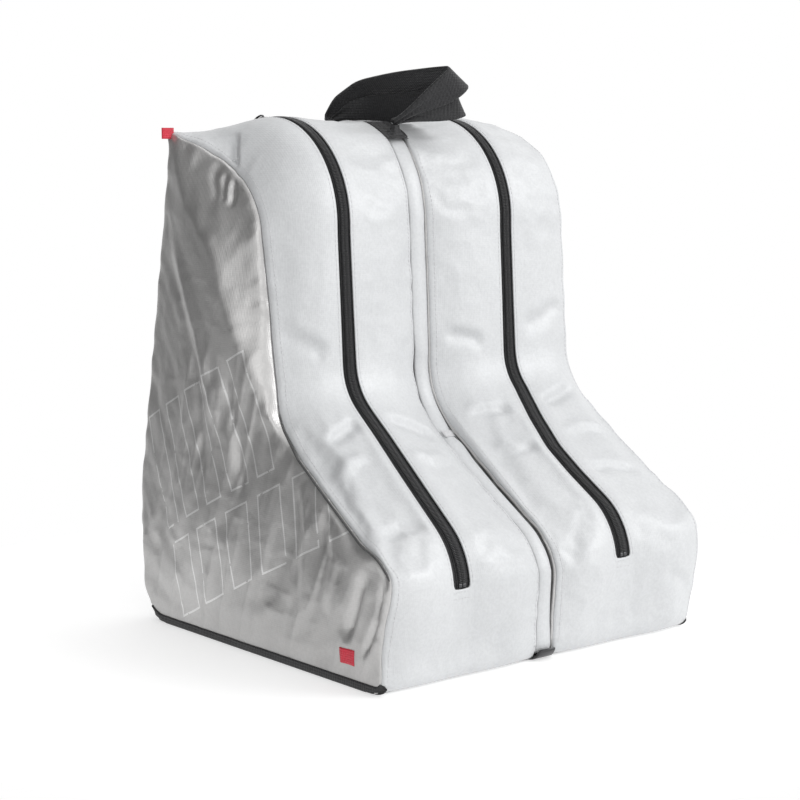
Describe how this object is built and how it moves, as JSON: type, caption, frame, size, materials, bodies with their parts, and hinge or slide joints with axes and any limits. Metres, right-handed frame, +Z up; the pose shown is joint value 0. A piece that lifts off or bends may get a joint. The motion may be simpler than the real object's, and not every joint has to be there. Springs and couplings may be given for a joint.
{
  "type": "ski boot bag",
  "caption": "Soft bag with two boot-shaped compartments side by side on a black base, a curved front zip on each, and two webbing carry loops on top.",
  "frame": {"origin": "middle of the underside of the base, on the plane between the two compartments", "axes": "+Z up, toes towards -Y, the left compartment is on -X and the right one on +X"},
  "size_m": [0.3415, 0.3391, 0.4721],
  "materials": {
    "shell_nylon": "satin",
    "side_nylon": "satin",
    "base_cloth": "matt",
    "webbing": "matt",
    "zip_tape": "matt",
    "zip_coil": "semi-gloss",
    "zip_metal": "satin",
    "seam_tape": "matt",
    "board": "matt",
    "red_tape": "satin"
  },
  "bodies": {
    "bag": {"base_panel": "base_cloth", "base_binding": "webbing", "centre_front_strip": "shell_nylon", "centre_back_strip": "shell_nylon", "left_outer_panel": "side_nylon", "left_inner_panel": "shell_nylon", "left_front_panel": "shell_nylon", "left_back_panel": "shell_nylon", "left_base_board": "board", "left_outer_seam_tape": "seam_tape", "left_inner_seam_tape": "seam_tape", "left_zip_tape_outer": "zip_tape", "left_zip_tape_inner": "zip_tape", "left_zip_coil_outer": "zip_coil", "left_zip_coil_inner": "zip_coil", "left_zip_stops": "zip_metal", "right_outer_panel": "side_nylon", "right_inner_panel": "shell_nylon", "right_front_panel": "shell_nylon", "right_back_panel": "shell_nylon", "right_base_board": "board", "right_outer_seam_tape": "seam_tape", "right_inner_seam_tape": "seam_tape", "right_zip_tape_outer": "zip_tape", "right_zip_tape_inner": "zip_tape", "right_zip_coil_outer": "zip_coil", "right_zip_coil_inner": "zip_coil", "right_zip_stops": "zip_metal", "front_handle_anchor": "webbing", "rear_handle_anchor": "webbing", "red_seam_tab": "red_tape", "woven_label": "red_tape"},
    "left_slider": {"left_zip_slider": "zip_metal"},
    "left_pull_tab": {"left_zip_pull_tab": "zip_metal"},
    "right_slider": {"right_zip_slider": "zip_metal"},
    "right_pull_tab": {"right_zip_pull_tab": "zip_metal"},
    "left_loop": {"left_handle": "webbing"},
    "right_loop": {"right_handle": "webbing"}
  },
  "joints": [
    {"name": "left_slider_run", "type": "hinge", "parent": "bag", "child": "left_slider", "pos_m": [-0.088, 0.058, 0.34], "axis": [1, 0, 0], "range_deg": [0, 106]},
    {"name": "left_tab_swing", "type": "hinge", "parent": "left_slider", "child": "left_pull_tab", "pos_m": [-0.088, 0.0884, 0.42386], "axis": [1, 0, 0], "range_deg": [0, 150]},
    {"name": "right_slider_run", "type": "hinge", "parent": "bag", "child": "right_slider", "pos_m": [0.088, 0.058, 0.34], "axis": [1, 0, 0], "range_deg": [0, 106]},
    {"name": "right_tab_swing", "type": "hinge", "parent": "right_slider", "child": "right_pull_tab", "pos_m": [0.088, 0.0884, 0.42386], "axis": [1, 0, 0], "range_deg": [0, 150]},
    {"name": "left_loop_swing", "type": "hinge", "parent": "bag", "child": "left_loop", "pos_m": [0, 0.055, 0.422], "axis": [0, 1, 0], "range_deg": [-111, 0]},
    {"name": "right_loop_swing", "type": "hinge", "parent": "bag", "child": "right_loop", "pos_m": [0, 0.055, 0.422], "axis": [0, 1, 0], "range_deg": [-138, 0]}
  ]
}
